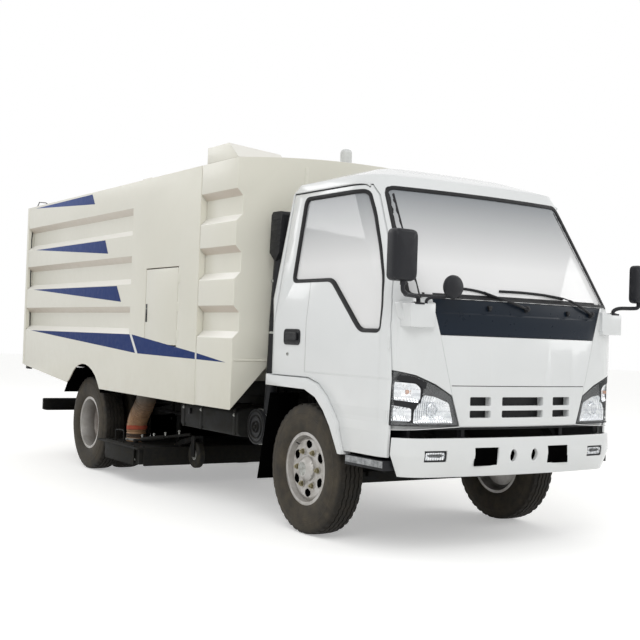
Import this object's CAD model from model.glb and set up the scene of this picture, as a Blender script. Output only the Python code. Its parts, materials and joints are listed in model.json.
import json
import math

import bmesh
import bpy
from mathutils import Matrix, Vector
from mathutils.bvhtree import BVHTree

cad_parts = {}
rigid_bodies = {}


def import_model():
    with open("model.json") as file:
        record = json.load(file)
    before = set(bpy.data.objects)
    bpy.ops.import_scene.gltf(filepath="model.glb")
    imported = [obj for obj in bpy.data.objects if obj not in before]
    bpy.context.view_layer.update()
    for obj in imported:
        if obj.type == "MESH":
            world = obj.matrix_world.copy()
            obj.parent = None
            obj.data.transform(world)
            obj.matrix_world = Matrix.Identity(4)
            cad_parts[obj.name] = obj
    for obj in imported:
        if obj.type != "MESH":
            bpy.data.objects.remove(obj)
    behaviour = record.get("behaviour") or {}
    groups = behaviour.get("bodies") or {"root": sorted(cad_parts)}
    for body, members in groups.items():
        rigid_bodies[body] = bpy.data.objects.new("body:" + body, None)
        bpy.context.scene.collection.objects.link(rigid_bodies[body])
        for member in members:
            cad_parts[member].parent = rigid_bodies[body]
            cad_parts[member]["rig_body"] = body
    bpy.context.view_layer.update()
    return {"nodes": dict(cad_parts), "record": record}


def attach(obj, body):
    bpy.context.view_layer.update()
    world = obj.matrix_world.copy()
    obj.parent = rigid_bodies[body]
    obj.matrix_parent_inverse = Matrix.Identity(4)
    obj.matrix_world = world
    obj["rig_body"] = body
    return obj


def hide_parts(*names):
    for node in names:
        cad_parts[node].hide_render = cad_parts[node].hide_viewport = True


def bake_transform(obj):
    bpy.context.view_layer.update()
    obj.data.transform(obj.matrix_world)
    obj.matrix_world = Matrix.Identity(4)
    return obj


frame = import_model()
mm = 0.001
axleShift = 1883    # the front axle, in millimetres ahead of the frame's origin


# Millimetres, with y measured back from the front axle, to frame metres.
def at(x, y, z):
    return Vector((x, y - axleShift, z)) * mm


def linear(code):
    parts = [int(code[i:i + 2], 16) / 255 for i in (1, 3, 5)]
    return tuple(p / 12.92 if p <= 0.04045 else ((p + 0.055) / 1.055) ** 2.4 for p in parts) + (1.0,)


# A node's output with arithmetic: 1 - mask, mask * 0.5 and so on add the nodes.
class Value:
    def __init__(self, nodes, socket):
        self.nodes, self.socket = nodes, socket

    def math(self, operation, *values):
        node = self.nodes.node("ShaderNodeMath", {"operation": operation}, dict(enumerate(values)))
        return Value(self.nodes, node.outputs[0])

    def __add__(self, other):
        return self.math("ADD", self, other)

    def __sub__(self, other):
        return self.math("SUBTRACT", self, other)

    def __rsub__(self, other):
        return self.math("SUBTRACT", other, self)

    def __mul__(self, other):
        return self.math("MULTIPLY", self, other)

    __radd__, __rmul__ = __add__, __mul__

    def sine(self):
        return self.math("SINE", self)

    def root(self):
        return self.math("SQRT", self)

    def size(self):
        return self.math("ABSOLUTE", self)

    def atLeast(self, other):
        return self.math("MAXIMUM", self, other)

    def map(self, low, high, first=0.0, last=1.0):
        sockets = dict(enumerate((self, low, high, first, last)))
        return Value(self.nodes, self.nodes.node("ShaderNodeMapRange", {"clamp": True}, sockets).outputs[0])

    def above(self, edge, soft):
        return self.map(edge - soft, edge + soft)

    # 1 within half of middle, fading out over soft.
    def band(self, middle, half, soft):
        return (self - middle).size().map(half, half + soft, 1.0, 0.0)


class Nodes:
    def __init__(self, tree):
        self.tree = tree

    def node(self, kind, settings=None, sockets=None):
        node = self.tree.nodes.new(kind)
        for key, value in (settings or {}).items():
            setattr(node, key, value)
        for key, value in (sockets or {}).items():
            self.feed(node.inputs[key], value)
        return node

    def feed(self, socket, value):
        if isinstance(value, Value):
            self.tree.links.new(value.socket, socket)
        else:
            socket.default_value = value


# A material round one Principled BSDF, with object coordinates counted from centre.
class Shader(Nodes):
    def __init__(self, name, color, roughness, metallic=0.0, centre=None, **sockets):
        self.material = bpy.data.materials.new(name)
        self.material.use_nodes = True
        super().__init__(self.material.node_tree)
        self.surface = next(n for n in self.tree.nodes if n.type == "BSDF_PRINCIPLED")
        self.put("Base Color", linear(color))
        self.put("Roughness", roughness)
        self.put("Metallic", metallic)
        for key, value in sockets.items():
            self.put(key.replace("_", " "), value)
        spot = self.node("ShaderNodeTexCoord")
        self.coordinates = Value(self, spot.outputs["Object"])
        if centre is not None:
            shifted = self.node("ShaderNodeVectorMath", {"operation": "SUBTRACT"}, {0: self.coordinates, 1: centre})
            self.coordinates = Value(self, shifted.outputs[0])
        split = self.node("ShaderNodeSeparateXYZ", None, {0: self.coordinates})
        self.x, self.y, self.z = (Value(self, socket) for socket in split.outputs)
        facing = self.node("ShaderNodeSeparateXYZ", None, {0: Value(self, spot.outputs["Normal"])})
        self.up = Value(self, facing.outputs["Z"])

    def put(self, name, value):
        self.feed(self.surface.inputs[name], value)

    def noise(self, scale, detail=4.0, rough=0.55, low=0.3, high=0.7):
        sockets = {"Vector": self.coordinates, "Scale": scale, "Detail": detail, "Roughness": rough}
        return Value(self, self.node("ShaderNodeTexNoise", None, sockets).outputs["Fac"]).map(low, high)

    def grain(self, scale):
        sockets = {"Vector": self.coordinates, "Scale": scale}
        return Value(self, self.node("ShaderNodeTexVoronoi", {"feature": "F1"}, sockets).outputs["Distance"])

    def mix(self, factor, first, second):
        first, second = (linear(c) if isinstance(c, str) else c for c in (first, second))
        node = self.node("ShaderNodeMix", {"data_type": "RGBA"}, {0: factor, 6: first, 7: second})
        return Value(self, node.outputs[2])

    def bump(self, height, distance, strength=1.0):
        sockets = {"Distance": distance, "Strength": strength, "Height": height}
        self.put("Normal", Value(self, self.node("ShaderNodeBump", None, sockets).outputs[0]))


def cabPaint():
    s = Shader("cabPaint", "#E4E6E6", 0.22, Coat_Weight=0.6, Coat_Roughness=0.06)
    tone = s.mix(s.noise(1.4, 5) * 0.35, "#DDDFDF", "#D2D5D5")
    dust = s.z.map(0.45, 0.9, 0.12, 0.0) * s.noise(3, 3, 0.5)
    s.put("Base Color", s.mix(dust, tone, "#CDC9BF"))
    s.put("Roughness", s.noise(30, 3) * 0.06 + 0.2)
    side = s.x.size().above(0.8, 0.01) * s.y.band(-2.3, 0.42, 0.01)
    belt = s.z.above(0.962, 0.006)           # the crease along the flank
    tuck = s.z.band(0.735, 0.012, 0.05)      # and the hollow under it
    s.bump(belt * side * 3.5 - tuck * side * 5 + s.noise(160, 2) * 0.05, 0.001)
    return s.material


def boxPaint():
    s = Shader("boxPaint", "#DAD8CC", 0.4, Coat_Weight=0.25, Coat_Roughness=0.2)
    tone = s.mix(s.noise(0.9, 4) * 0.5, "#DCDACE", "#CFCDBF")
    tone = s.mix((s.up * -1).above(0.5, 0.15) * 0.55, tone, "#A58E7C")     # under the ribs
    tone = s.mix(s.up.band(0.7, 0.15, 0.1) * 0.6, tone, "#F2F0EB")         # on their slopes
    dust = s.z.map(0.65, 1.0, 0.3, 0.0) * s.noise(6, 7, 0.65)
    s.put("Base Color", s.mix(dust, tone, "#C4BEAC"))
    s.put("Roughness", dust * 0.35 + s.noise(20, 4) * 0.12 + 0.33)
    s.bump(s.noise(3.5, 3) * 0.9 + s.noise(170, 2) * 0.05, 0.001)
    return s.material


def stripePaint():
    s = Shader("stripeBlue", "#0A2A66", 0.5, Specular_IOR_Level=0.12)
    fade = s.y.map(0.4, 2.6)
    tone = s.mix(s.noise(7, 5) * 0.4, "#0A2862", "#16346F")
    s.put("Base Color", s.mix(fade * s.z.map(1.1, 2.2) * 0.75, tone, "#5B6CA4"))
    s.put("Roughness", s.noise(25, 4) * 0.15 + 0.45)
    s.bump(s.noise(120, 2) * 0.1, 0.0006)
    return s.material


def dirtyBlack(name, base="#1B1C1D", dirt="#4E4A40", roughness=0.55, scale=12, gloss=0.2):
    s = Shader(name, base, roughness, Specular_IOR_Level=gloss)
    grime = s.noise(scale, 7, 0.7, 0.42, 0.8)
    low = s.z.map(0.1, 0.9, 0.75, 0.2)
    s.put("Base Color", s.mix(grime * low, base, dirt))
    s.put("Roughness", grime * 0.3 + roughness)
    s.bump(s.noise(90, 5) * 0.35 + grime * 0.2, 0.001)
    return s.material


def castIron():
    s = Shader("castIron", "#3B3D3B", 0.6, 0.3)
    s.put("Base Color", s.mix(s.noise(14, 7, 0.7), "#2E302E", "#57523F"))
    s.put("Roughness", s.noise(40, 4) * 0.25 + 0.5)
    s.bump(s.noise(220, 4), 0.0012)
    return s.material


def grainPlastic(name, base, roughness=0.5, grain=900):
    s = Shader(name, base, roughness, Specular_IOR_Level=0.3)
    s.put("Roughness", s.noise(18, 4) * 0.18 + roughness - 0.08)
    pale = tuple(min(1, c * 1.5 + 0.006) for c in linear(base)[:3]) + (1.0,)
    s.put("Base Color", s.mix(s.noise(8, 6, 0.65) * 0.4, linear(base), pale))
    s.bump(s.grain(grain), 0.0004, 0.6)
    return s.material


def bandPaint():
    s = Shader("bandDark", "#101B27", 0.3, Specular_IOR_Level=0.2)
    s.put("Base Color", s.mix(s.z.map(1.20, 1.40), "#081726", "#131C26"))
    s.put("Roughness", s.noise(30, 4) * 0.15 + 0.26)
    fold = s.z.above(1.325, 0.004)
    s.bump(s.noise(300, 2) * 0.05 - fold * 4, 0.001)
    return s.material


# Dusty side walls round the axle, and a darker tread.
def tyreRubber(name="tyreRubber", centre=None):
    s = Shader(name, "#3F3C37", 0.75, centre=centre, Specular_IOR_Level=0.25)
    radius = (s.y * s.y + s.z * s.z).root()
    dust = s.noise(11, 7, 0.65, 0.3, 0.75)
    wall = s.mix(dust, "#2C2A26", "#4F483D")
    tread = s.mix(dust, "#1B1A18", "#332F29")
    s.put("Base Color", s.mix(radius.above(0.368, 0.012), wall, tread))
    s.put("Roughness", dust * 0.18 + 0.68)
    rings = (radius * 520).sine() * radius.band(0.30, 0.03, 0.01) * 0.3
    s.bump(s.noise(160, 5) * 0.5 + rings, 0.001)
    return s.material


def rimSilver():
    s = Shader("rimSilver", "#B5B3B0", 0.42, 0.55)
    dust = s.noise(13, 7, 0.7, 0.4, 0.8)
    shade = s.y.above(0.5, 0.1) * s.x.size().map(0.87, 0.74) * 0.8     # inside the dished rear rims
    s.put("Base Color", s.mix(shade, s.mix(dust * 0.7, "#B9B7B4", "#8A8276"), "#5B5048"))
    s.put("Roughness", dust * 0.3 + 0.36)
    s.bump(s.noise(240, 3) * 0.3, 0.0006)
    return s.material


def metal(name, color, roughness, scale=40, dark=None):
    s = Shader(name, color, roughness, 0.9)
    s.put("Base Color", s.mix(s.noise(scale, 5), color, dark or color))
    s.put("Roughness", s.noise(scale * 2, 4) * 0.25 + roughness - 0.05)
    s.bump(s.noise(scale * 6, 3) * 0.2, 0.0004)
    return s.material


# A thin pane: a pale veil that darkens between the heights bottom and top.
def glass(name, low, high, alpha, bottom, top):
    s = Shader(name, low, 0.03, IOR=1.5, Coat_Weight=0.4, Coat_Roughness=0.02)
    s.put("Base Color", s.mix(s.z.map(bottom, top), low, high))
    s.put("Alpha", s.z.map(bottom, top, alpha, min(1, alpha + 0.15)))
    s.put("Roughness", s.noise(6, 3) * 0.03 + 0.02)
    s.bump(s.noise(2.2, 2) * 0.4, 0.001)
    return s.material


def clearLens():
    s = Shader("clearLens", "#F4F7F8", 0.03, Specular_IOR_Level=0.12)
    s.put("Alpha", s.noise(12, 3) * 0.03 + 0.05)
    s.bump(s.noise(5, 2) * 0.3, 0.001)
    return s.material


def facetChrome():
    s = Shader("reflectorChrome", "#E6E8EA", 0.14, 0.9)
    s.put("Base Color", s.mix(s.noise(20, 3), "#F1F2F4", "#CFD3D7"))
    s.bump((s.x * 420).sine() * 0.6 + (s.z * 210).sine() * 0.4, 0.0022)
    return s.material


def tinted(name, color, alpha):
    s = Shader(name, color, 0.12, Coat_Weight=0.5)
    s.put("Alpha", s.noise(10, 3) * 0.05 + alpha)
    s.bump((s.z * 900).sine() * (s.x * 900).sine(), 0.0006)
    return s.material


def fabric():
    s = Shader("seatFabric", "#8D9092", 0.85, Sheen_Weight=0.35, Sheen_Roughness=0.5)
    weave = (s.x * 2600).sine() * (s.z * 2600 + s.y * 2600).sine()
    s.put("Base Color", s.mix(weave.map(-1, 1) * 0.3 + s.noise(7, 4) * 0.4, "#7E8285", "#A5A7A6"))
    s.bump(weave, 0.0006)
    return s.material


def hoseSkin():
    s = Shader("hoseFabric", "#A5815F", 0.6)
    tone = s.mix(s.noise(9, 6, 0.65), "#B08A66", "#7A5C42")
    s.put("Base Color", s.mix(s.z.map(0.46, 0.64), tone, "#4E463C"))
    s.put("Roughness", s.noise(30, 4) * 0.2 + 0.5)
    s.bump(s.noise(140, 4) * 0.6, 0.001)
    return s.material


mats = {
    "cab_paint": cabPaint(),
    "box_paint": boxPaint(),
    "stripe": stripePaint(),
    "band_dark": bandPaint(),
    "frame_black": dirtyBlack("frameBlack", "#111212", "#37342C", 0.65),
    "arch_black": dirtyBlack("archBlack", "#040404", "#0C0C0B", 0.8, 12, 0.0),
    "roller_rubber": dirtyBlack("rollerRubber", "#232323", "#55503F", 0.7, 25),
    "flap_rubber": dirtyBlack("flapRubber", "#141413", "#35322A", 0.75, 18),
    "cast_iron": castIron(),
    "trim_black": grainPlastic("trimBlack", "#131417", 0.5),
    "mirror_black": grainPlastic("mirrorBlack", "#131419", 0.42),
    "seal": grainPlastic("sealRubber", "#141416", 0.55, 1500),
    "hose_dark": grainPlastic("hoseDark", "#3A2C22", 0.6),
    "red_cloth": grainPlastic("redBand", "#A5503C", 0.8),
    "dark_trim": grainPlastic("interiorTrim", "#9DA0A2", 0.55),
    "beacon_amber": grainPlastic("beaconShell", "#CDCFCE", 0.3, 500),
    "tyre_rubber": tyreRubber(),
    "rim_silver": rimSilver(),
    "window_glass": glass("windowGlass", "#FFFFFF", "#70777D", 0.68, 1.6, 2.08),
    "lamp_lens": clearLens(),
    "reflector": facetChrome(),
    "amber_lens": tinted("amberLens", "#D8A07E", 0.5),
    "red_lens": tinted("redLens", "#A31616", 0.85),
    "seat_fabric": fabric(),
    "hose_fabric": hoseSkin(),
    "ram_steel": metal("ramSteel", "#C9CBCC", 0.2),
    "brass": metal("brassNuts", "#A39C80", 0.42, 60, "#77705A"),
    "zinc": metal("zincSteel", "#B9BBB8", 0.4, 50, "#83837D"),
    "mirror_glass": metal("mirrorGlass", "#DADFE2", 0.06),
    "aluminium": metal("treadAluminium", "#A9ABAC", 0.45, 30, "#77797A"),
}
print("materials", len(mats))


# One scene piece, built from many small shapes in frame metres.
class Piece:
    def __init__(self, name, body, replaces=(), slot=None):
        self.name, self.body, self.stands, self.slot = name, body, replaces, slot
        self.mesh = bmesh.new()
        self.palette = []

    # Moves a temporary bmesh into the piece, with the edges sharper than angle bevelled.
    def take(self, part, key, bevel=0.0, segments=2, angle=28, solid=False):
        bmesh.ops.recalc_face_normals(part, faces=part.faces)
        solid = solid or all(e.is_manifold for e in part.edges)
        if solid and part.calc_volume(signed=True) < 0:
            bmesh.ops.reverse_faces(part, faces=part.faces)
        if bevel:
            sharp = [e for e in part.edges
                     if len(e.link_faces) == 2 and e.calc_face_angle(0) > math.radians(angle)]
            bmesh.ops.bevel(part, geom=sharp, offset=bevel, segments=segments, affect="EDGES",
                            profile=0.5, clamp_overlap=True, material=-1)
        if key not in self.palette:
            self.palette.append(key)
        for face in part.faces:
            face.material_index = self.palette.index(key)
        store = bpy.data.meshes.new("part")
        part.to_mesh(store)
        part.free()
        self.mesh.from_mesh(store)
        bpy.data.meshes.remove(store)

    # Rings of points, each extruded into the next; a loop runs back into its first ring.
    def loft(self, rings, key, bevel=0.0, segments=2, loop=False, caps=(True, True)):
        part = bmesh.new()
        order = part.verts.layers.int.new("order")
        ring = [part.verts.new(p) for p in rings[0]]
        for index, vert in enumerate(ring):
            vert[order] = index
        edges = [part.edges.new(pair) for pair in zip(ring, ring[1:] + ring[:1])]
        if caps[0] and not loop:
            part.faces.new(ring)
        for points in list(rings[1:]) + ([rings[0]] if loop else []):
            made = bmesh.ops.extrude_edge_only(part, edges=edges)["geom"]
            ring = sorted((v for v in made if isinstance(v, bmesh.types.BMVert)), key=lambda v: v[order])
            fresh = set(ring)
            edges = [e for e in made if isinstance(e, bmesh.types.BMEdge) and fresh.issuperset(e.verts)]
            for vert, point in zip(ring, points):
                vert.co = point
        if loop:
            bmesh.ops.remove_doubles(part, verts=part.verts, dist=1e-6)
        elif caps[1]:
            part.faces.new(ring[::-1])
        self.take(part, key, bevel, segments)

    def box(self, low, high, key, bevel=0.002, segments=2, turn=Matrix()):
        low, high = Vector(low), Vector(high)
        size = [max(abs(value), 1e-5) for value in high - low]
        part = bmesh.new()
        bmesh.ops.create_cube(part, size=1)
        part.transform(Matrix.Translation((low + high) / 2) @ turn @ Matrix.Diagonal(size).to_4x4())
        self.take(part, key, bevel, segments)

    def prism(self, outline, shift, key, bevel=0.0, segments=2):
        outline = [Vector(p) for p in outline]
        self.loft([outline, [p + Vector(shift) for p in outline]], key, bevel, segments)

    def cylinder(self, start, end, radius, key, segments=32, bevel=0.0):
        start, end = Vector(start), Vector(end)
        part = bmesh.new()
        bmesh.ops.create_cone(part, cap_ends=True, segments=segments, radius1=radius,
                              radius2=radius, depth=(end - start).length)
        turn = (end - start).to_track_quat("Z", "Y").to_matrix().to_4x4()
        part.transform(Matrix.Translation((start + end) / 2) @ turn)
        self.take(part, key, bevel)

    # Turns (along, radius) points about an axis through centre.
    def lathe(self, profile, centre, axis, key, segments=96, closed=False):
        centre, axis = Vector(centre), Vector(axis).normalized()
        out = axis.orthogonal().normalized()
        part = bmesh.new()
        line = [part.verts.new(centre + axis * along + out * radius) for along, radius in profile]
        edges = [part.edges.new(pair) for pair in zip(line, line[1:] + (line[:1] if closed else []))]
        bmesh.ops.spin(part, geom=line + edges, cent=centre, axis=axis, angle=2 * math.pi,
                       steps=segments, use_merge=True)
        bmesh.ops.remove_doubles(part, verts=part.verts, dist=1e-5)
        self.take(part, key)

    # A round tube along points; radius is one number or one for each point.
    def tube(self, path, radius, key, segments=12, loop=False):
        path = [Vector(p) for p in path]
        radii = radius if isinstance(radius, (list, tuple)) else [radius] * len(path)
        rings, side = [], None
        for index, (here, reach) in enumerate(zip(path, radii)):
            before = path[index - 1] if index or loop else here
            after = path[(index + 1) % len(path)] if index < len(path) - 1 or loop else here
            along = (after - before).normalized()
            side = along.orthogonal() if side is None else side - along * side.dot(along)
            side = side.normalized()
            other = along.cross(side)
            turns = [2 * math.pi * step / segments for step in range(segments)]
            rings.append([here + (side * math.cos(t) + other * math.sin(t)) * reach for t in turns])
        self.loft(rings, key, loop=loop)

    def ball(self, centre, radius, key, scale=(1, 1, 1)):
        part = bmesh.new()
        bmesh.ops.create_uvsphere(part, u_segments=24, v_segments=14, radius=radius)
        part.transform(Matrix.Translation(centre) @ Matrix.Diagonal(scale).to_4x4())
        self.take(part, key)

    # A hexagon head on its washer.
    def bolt(self, spot, axis, radius, key="zinc", height=None):
        spot, axis = Vector(spot), Vector(axis).normalized()
        washer = spot + axis * radius * 0.25
        self.cylinder(spot, washer, radius * 1.35, key, 20)
        self.cylinder(washer, spot + axis * (height or radius * 0.9), radius, key, 6, radius * 0.1)

    def done(self, sharp=32, rides=True):
        data = bpy.data.meshes.new(self.name)
        for face in self.mesh.faces:
            face.smooth = True
        self.mesh.to_mesh(data)
        self.mesh.free()
        data.set_sharp_from_angle(angle=math.radians(sharp))
        for key in self.palette:
            data.materials.append(mats[key])
        piece = bpy.data.objects.new(self.name, data)
        bpy.context.scene.collection.objects.link(piece)
        if rides:
            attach(piece, self.body)
        if self.stands:
            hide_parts(*self.stands)
        return piece


# Calls build with -1 for the right side and 1 for the left.
def both(build):
    for side in (-1, 1):
        build(side)


def word(side):
    return "left" if side > 0 else "right"


# A Catmull-Rom line through the points.
def smoothPath(points, steps=8):
    points = [Vector(p) for p in points]
    full = [points[0] * 2 - points[1]] + points + [points[-1] * 2 - points[-2]]
    result = []
    for a, b, c, d in zip(full, full[1:], full[2:], full[3:]):
        for step in range(steps):
            t = step / steps
            result.append(0.5 * ((2 * b) + (c - a) * t + (2 * a - 5 * b + 4 * c - d) * t * t
                                 + (3 * b - a - 3 * c + d) * t ** 3))
    return result + [points[-1]]


# The closed 2D polygon with its corners rounded.
def roundCorners(points, radius, steps=5):
    points = [Vector(p) for p in points]
    result = []
    for before, here, after in zip(points[-1:] + points[:-1], points, points[1:] + points[:1]):
        back, on = before - here, after - here
        reach = min(radius, back.length * 0.45, on.length * 0.45)
        first, last = here + back.normalized() * reach, here + on.normalized() * reach
        for step in range(steps + 1):
            t = step / steps
            result.append(first * (1 - t) ** 2 + here * (2 * t * (1 - t)) + last * t * t)
    return result


# A copy of a CAD node with its edges eased, standing for that node.
def eased(node, width, segments=2, key=None, angle=25, name=None):
    source = frame["nodes"][node]
    part = bmesh.new()
    part.from_mesh(source.data)
    bmesh.ops.remove_doubles(part, verts=part.verts, dist=2e-5)
    bmesh.ops.dissolve_limit(part, angle_limit=math.radians(0.8), verts=part.verts, edges=part.edges)
    slot = next(p["material_slot"] for p in frame["record"]["subparts"] if p["node"] == node)
    piece = Piece(name or node + ".eased", source["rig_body"], (node,), slot)
    piece.take(part, key or slot, width, segments, angle)
    return piece


print("kit ready")

for entry in frame["record"]["subparts"]:
    holder = frame["nodes"][entry["node"]]
    if not holder.material_slots:
        holder.data.materials.append(None)
    for slot in holder.material_slots:
        slot.link = "OBJECT"
        slot.material = mats[entry["material_slot"]]
print("CAD nodes finished")

wheelSizes = {
    "front": {"x": 752, "y": 0, "bodies": "front_wheel_{}", "tyre": "front_tyre_{}", "rim": "front_rim_{}",
              "middles": (0,), "face": 0.052, "caps": 6, "turn": 30, "capRing": 0.066, "capBack": 0.03,
              "capSize": 0.007, "hub": "zinc", "hubLine": [(0.022, 0.058), (0.004, 0.05), (-0.002, 0.036)]},
    "rear": {"x": 694, "y": 3308, "bodies": "rear_wheels_{}", "tyre": "rear_tyres_{}", "rim": "rear_rims_{}",
             "middles": (-120, 120), "face": 0.012, "caps": 8, "turn": 0, "capRing": 0.05, "capBack": 0.006,
             "capSize": 0.006, "hub": "cast_iron", "hubLine": [(0.02, 0.074), (0.004, 0.06), (-0.002, 0.04)]},
}
tyreSizes = {
    "radius": 388,
    "drop": 5,              # how far the crown falls towards its shoulders
    "steps": 240,
    "block": 6,             # steps from one tread block to the next
    "cut": 6,               # depth of the cuts across the shoulder
    "edgeCut": 3,           # and where they run out on the wall
    "zigzag": 2.2,
    "grooves": (-44, -15, 15, 44),
    "groove": ((-4, 0), (-2.6, 9), (2.6, 9), (4, 0)),
    # half of the section as (across, radius), with raised rings on the wall
    "wall": [(72, 206), (77, 219), (84, 227), (91, 240), (95.5, 262), (97.6, 285), (98, 296), (96, 314),
             (93, 327), (93.6, 330), (91.8, 333), (86.5, 350), (82, 363), (78, 374), (76, 379)],
}
rimSizes = {"hub": 0.096, "studs": 6, "studRing": 0.111, "holeRing": 0.144, "holeRadius": 0.0245}


# The whole section as (across, radius or groove depth, kind): wall, groove or crown.
def tyreSection():
    wall = tyreSizes["wall"]
    columns = [(-x, radius, "wall") for x, radius in wall] + [(-74, 0, "crown"), (-58, 0, "crown")]
    for middle in tyreSizes["grooves"]:
        columns += [(middle + x, deep, "groove") for x, deep in tyreSizes["groove"]]
    columns += [(58, 0, "crown"), (74, 0, "crown")]
    return columns + [(x, radius, "wall") for x, radius in reversed(wall)]


# Spins the section, then cuts the shoulders and bends the grooves into zigzags step by step.
def tyreRing(piece, middle, centre, key):
    columns, size = tyreSection(), tyreSizes
    steps, block = size["steps"], size["block"]
    part = bmesh.new()
    order = part.verts.layers.int.new("order")
    line = [part.verts.new((x, 0, 1 + index)) for index, (x, _, _) in enumerate(columns)]
    for index, vert in enumerate(line):
        vert[order] = index
    edges = [part.edges.new(pair) for pair in zip(line, line[1:])]
    bmesh.ops.spin(part, geom=line + edges, cent=(0, 0, 0), axis=(1, 0, 0), angle=2 * math.pi,
                   steps=steps, use_merge=True)
    for vert in part.verts:
        x, value, kind = columns[vert[order]]
        step = round(math.atan2(vert.co.y, vert.co.z) / (2 * math.pi) * steps) % steps
        notch = step % block in (0, 1)
        radius = value - (size["edgeCut"] if notch and value == size["wall"][-1][1] else 0)
        if kind != "wall":
            radius = size["radius"] - size["drop"] * (abs(x) / 75) ** 3 - value
            radius -= size["cut"] if notch and kind == "crown" else 0
        if kind == "groove":
            x += (abs(step % block - block / 2) - block / 4) * size["zigzag"]
        angle = 2 * math.pi * step / steps
        vert.co = centre + Vector((middle + x, radius * math.cos(angle), radius * math.sin(angle))) * mm
    piece.take(part, key, solid=True)


def wheelSet(side):
    hand = word(side)
    out = Vector((side, 0, 0))
    for kind, spec in wheelSizes.items():
        body = spec["bodies"].format(hand)
        centre = at(side * spec["x"], spec["y"], tyreSizes["radius"])
        key = "tyre_{}_{}".format(kind, hand)
        mats[key] = tyreRubber("tyreRubber.{}.{}".format(kind, hand), centre)
        tyre = Piece("tyre.{}.{}".format(kind, hand), body, (spec["tyre"].format(hand),), "tyre_rubber")
        for middle in spec["middles"]:
            tyreRing(tyre, middle, centre, key)
        tyre.done(40)

        def around(turn, reach, off):
            return centre + out * off + Vector((0, math.cos(turn), math.sin(turn))) * reach

        rim = eased(spec["rim"].format(hand), 0.0025, name="rim.{}.{}".format(kind, hand))
        hub = rimSizes["hub"]
        turns = [2 * math.pi / rimSizes["studs"] * stud for stud in range(rimSizes["studs"])]
        for turn in turns:
            spot = around(turn, rimSizes["studRing"], spec["face"])
            rim.cylinder(spot, spot + out * 0.006, 0.021, "rim_silver", 32, 0.0015)
            rim.bolt(spot + out * 0.005, out, 0.0135, "brass", 0.018)
            rim.cylinder(spot + out * 0.016, spot + out * 0.03, 0.0075, "brass", 16, 0.0015)
        hubLine = [(hub - back, radius) for back, radius in spec["hubLine"]] + [(hub + 0.003, 0)]
        rim.lathe(hubLine, centre, out, spec["hub"], 48)
        for cap in range(spec["caps"]):
            turn = math.radians(360 / spec["caps"] * cap + spec["turn"])
            rim.bolt(around(turn, spec["capRing"], hub - spec["capBack"]), out, spec["capSize"])
        for turn in turns:      # the hand holes lie between the studs
            spot = around(turn + math.pi / rimSizes["studs"], rimSizes["holeRing"], spec["face"] - 0.004)
            rim.cylinder(spot, spot + out * 0.0046, rimSizes["holeRadius"], "arch_black")
        valve = centre + out * (spec["face"] + 0.004) + Vector((0, 0.10, 0.135))
        rim.tube([valve, valve + out * 0.02 + Vector((0, 0.008, 0.012))], 0.004, "seal")
        rim.done()


both(wheelSet)
print("wheels")

# The cab's skin by height: (height, half width, front, corner radius).
cabLevels = [
    (541, 850, -960, 190), (1250, 850, -960, 190), (1400, 835, -960, 245), (2050, 772, -545, 205),
    (2112, 738, -508, 180), (2195, 470, -250, 100),
]
faceRadius = 4600


# Half width, front, corner radius, face radius and the corner's start, at a height.
def skinAt(height, inset):
    for low, high in zip(cabLevels, cabLevels[1:]):
        if height <= high[0]:
            break
    t = max(0, min(1, (height - low[0]) / (high[0] - low[0])))
    half, front, corner = (low[i] + (high[i] - low[i]) * t for i in (1, 2, 3))
    half, front, corner, face = half - inset, front + inset, corner - inset, faceRadius - inset
    start = front + face - math.sqrt((face - corner) ** 2 - (half - corner) ** 2)
    return half, front, corner, face, start


def skinSide(y, z, lift=0, side=-1):
    half, front, corner, face, start = skinAt(z, -lift)
    if y < start:
        half += math.sqrt(max(0, corner ** 2 - (start - y) ** 2)) - corner
    return at(side * half, y, z)


def skinFront(x, z, lift=0):
    half, front, corner, face, start = skinAt(z, -lift)
    reach = min(abs(x), half - 0.5)
    if reach <= (half - corner) * face / (face - corner):
        y = front + face - math.sqrt(face ** 2 - reach ** 2)
    else:
        y = start - math.sqrt(max(0, corner ** 2 - (reach - half + corner) ** 2))
    return at(math.copysign(reach, x), y, z)


def sidePlace(side):
    return lambda y, z, lift: skinSide(y, z, lift, side)


def frontPlace(side=1):
    return lambda x, z, lift: skinFront(side * x, z, lift)


# The closed 2D polygon with extra points along its sides.
def denser(points, gap):
    result = []
    for index, point in enumerate(points):
        here, there = Vector(point), Vector(points[(index + 1) % len(points)])
        count = max(1, int((there - here).length / gap))
        result += [here.lerp(there, step / count) for step in range(count)]
    return result


# The closed 2D polygon moved outwards.
def offsetLoop(points, amount):
    area = sum(a[0] * b[1] - b[0] * a[1] for a, b in zip(points, points[1:] + points[:1]))
    turn = 1 if area > 0 else -1
    result = []
    for index, point in enumerate(points):
        before, after = Vector(points[index - 1]), Vector(points[(index + 1) % len(points)])
        along = (after - before).normalized()
        result.append(Vector(point) + Vector((along.y, -along.x)) * turn * amount)
    return result


# A frame round a 2D outline laid on a surface; section corners are (offset outwards, lift).
def band(piece, outline, place, section, key):
    rings = [[place(p[0], p[1], lift) for p in offsetLoop(outline, out)] for out, lift in section]
    piece.loft(rings, key, loop=True)


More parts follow.
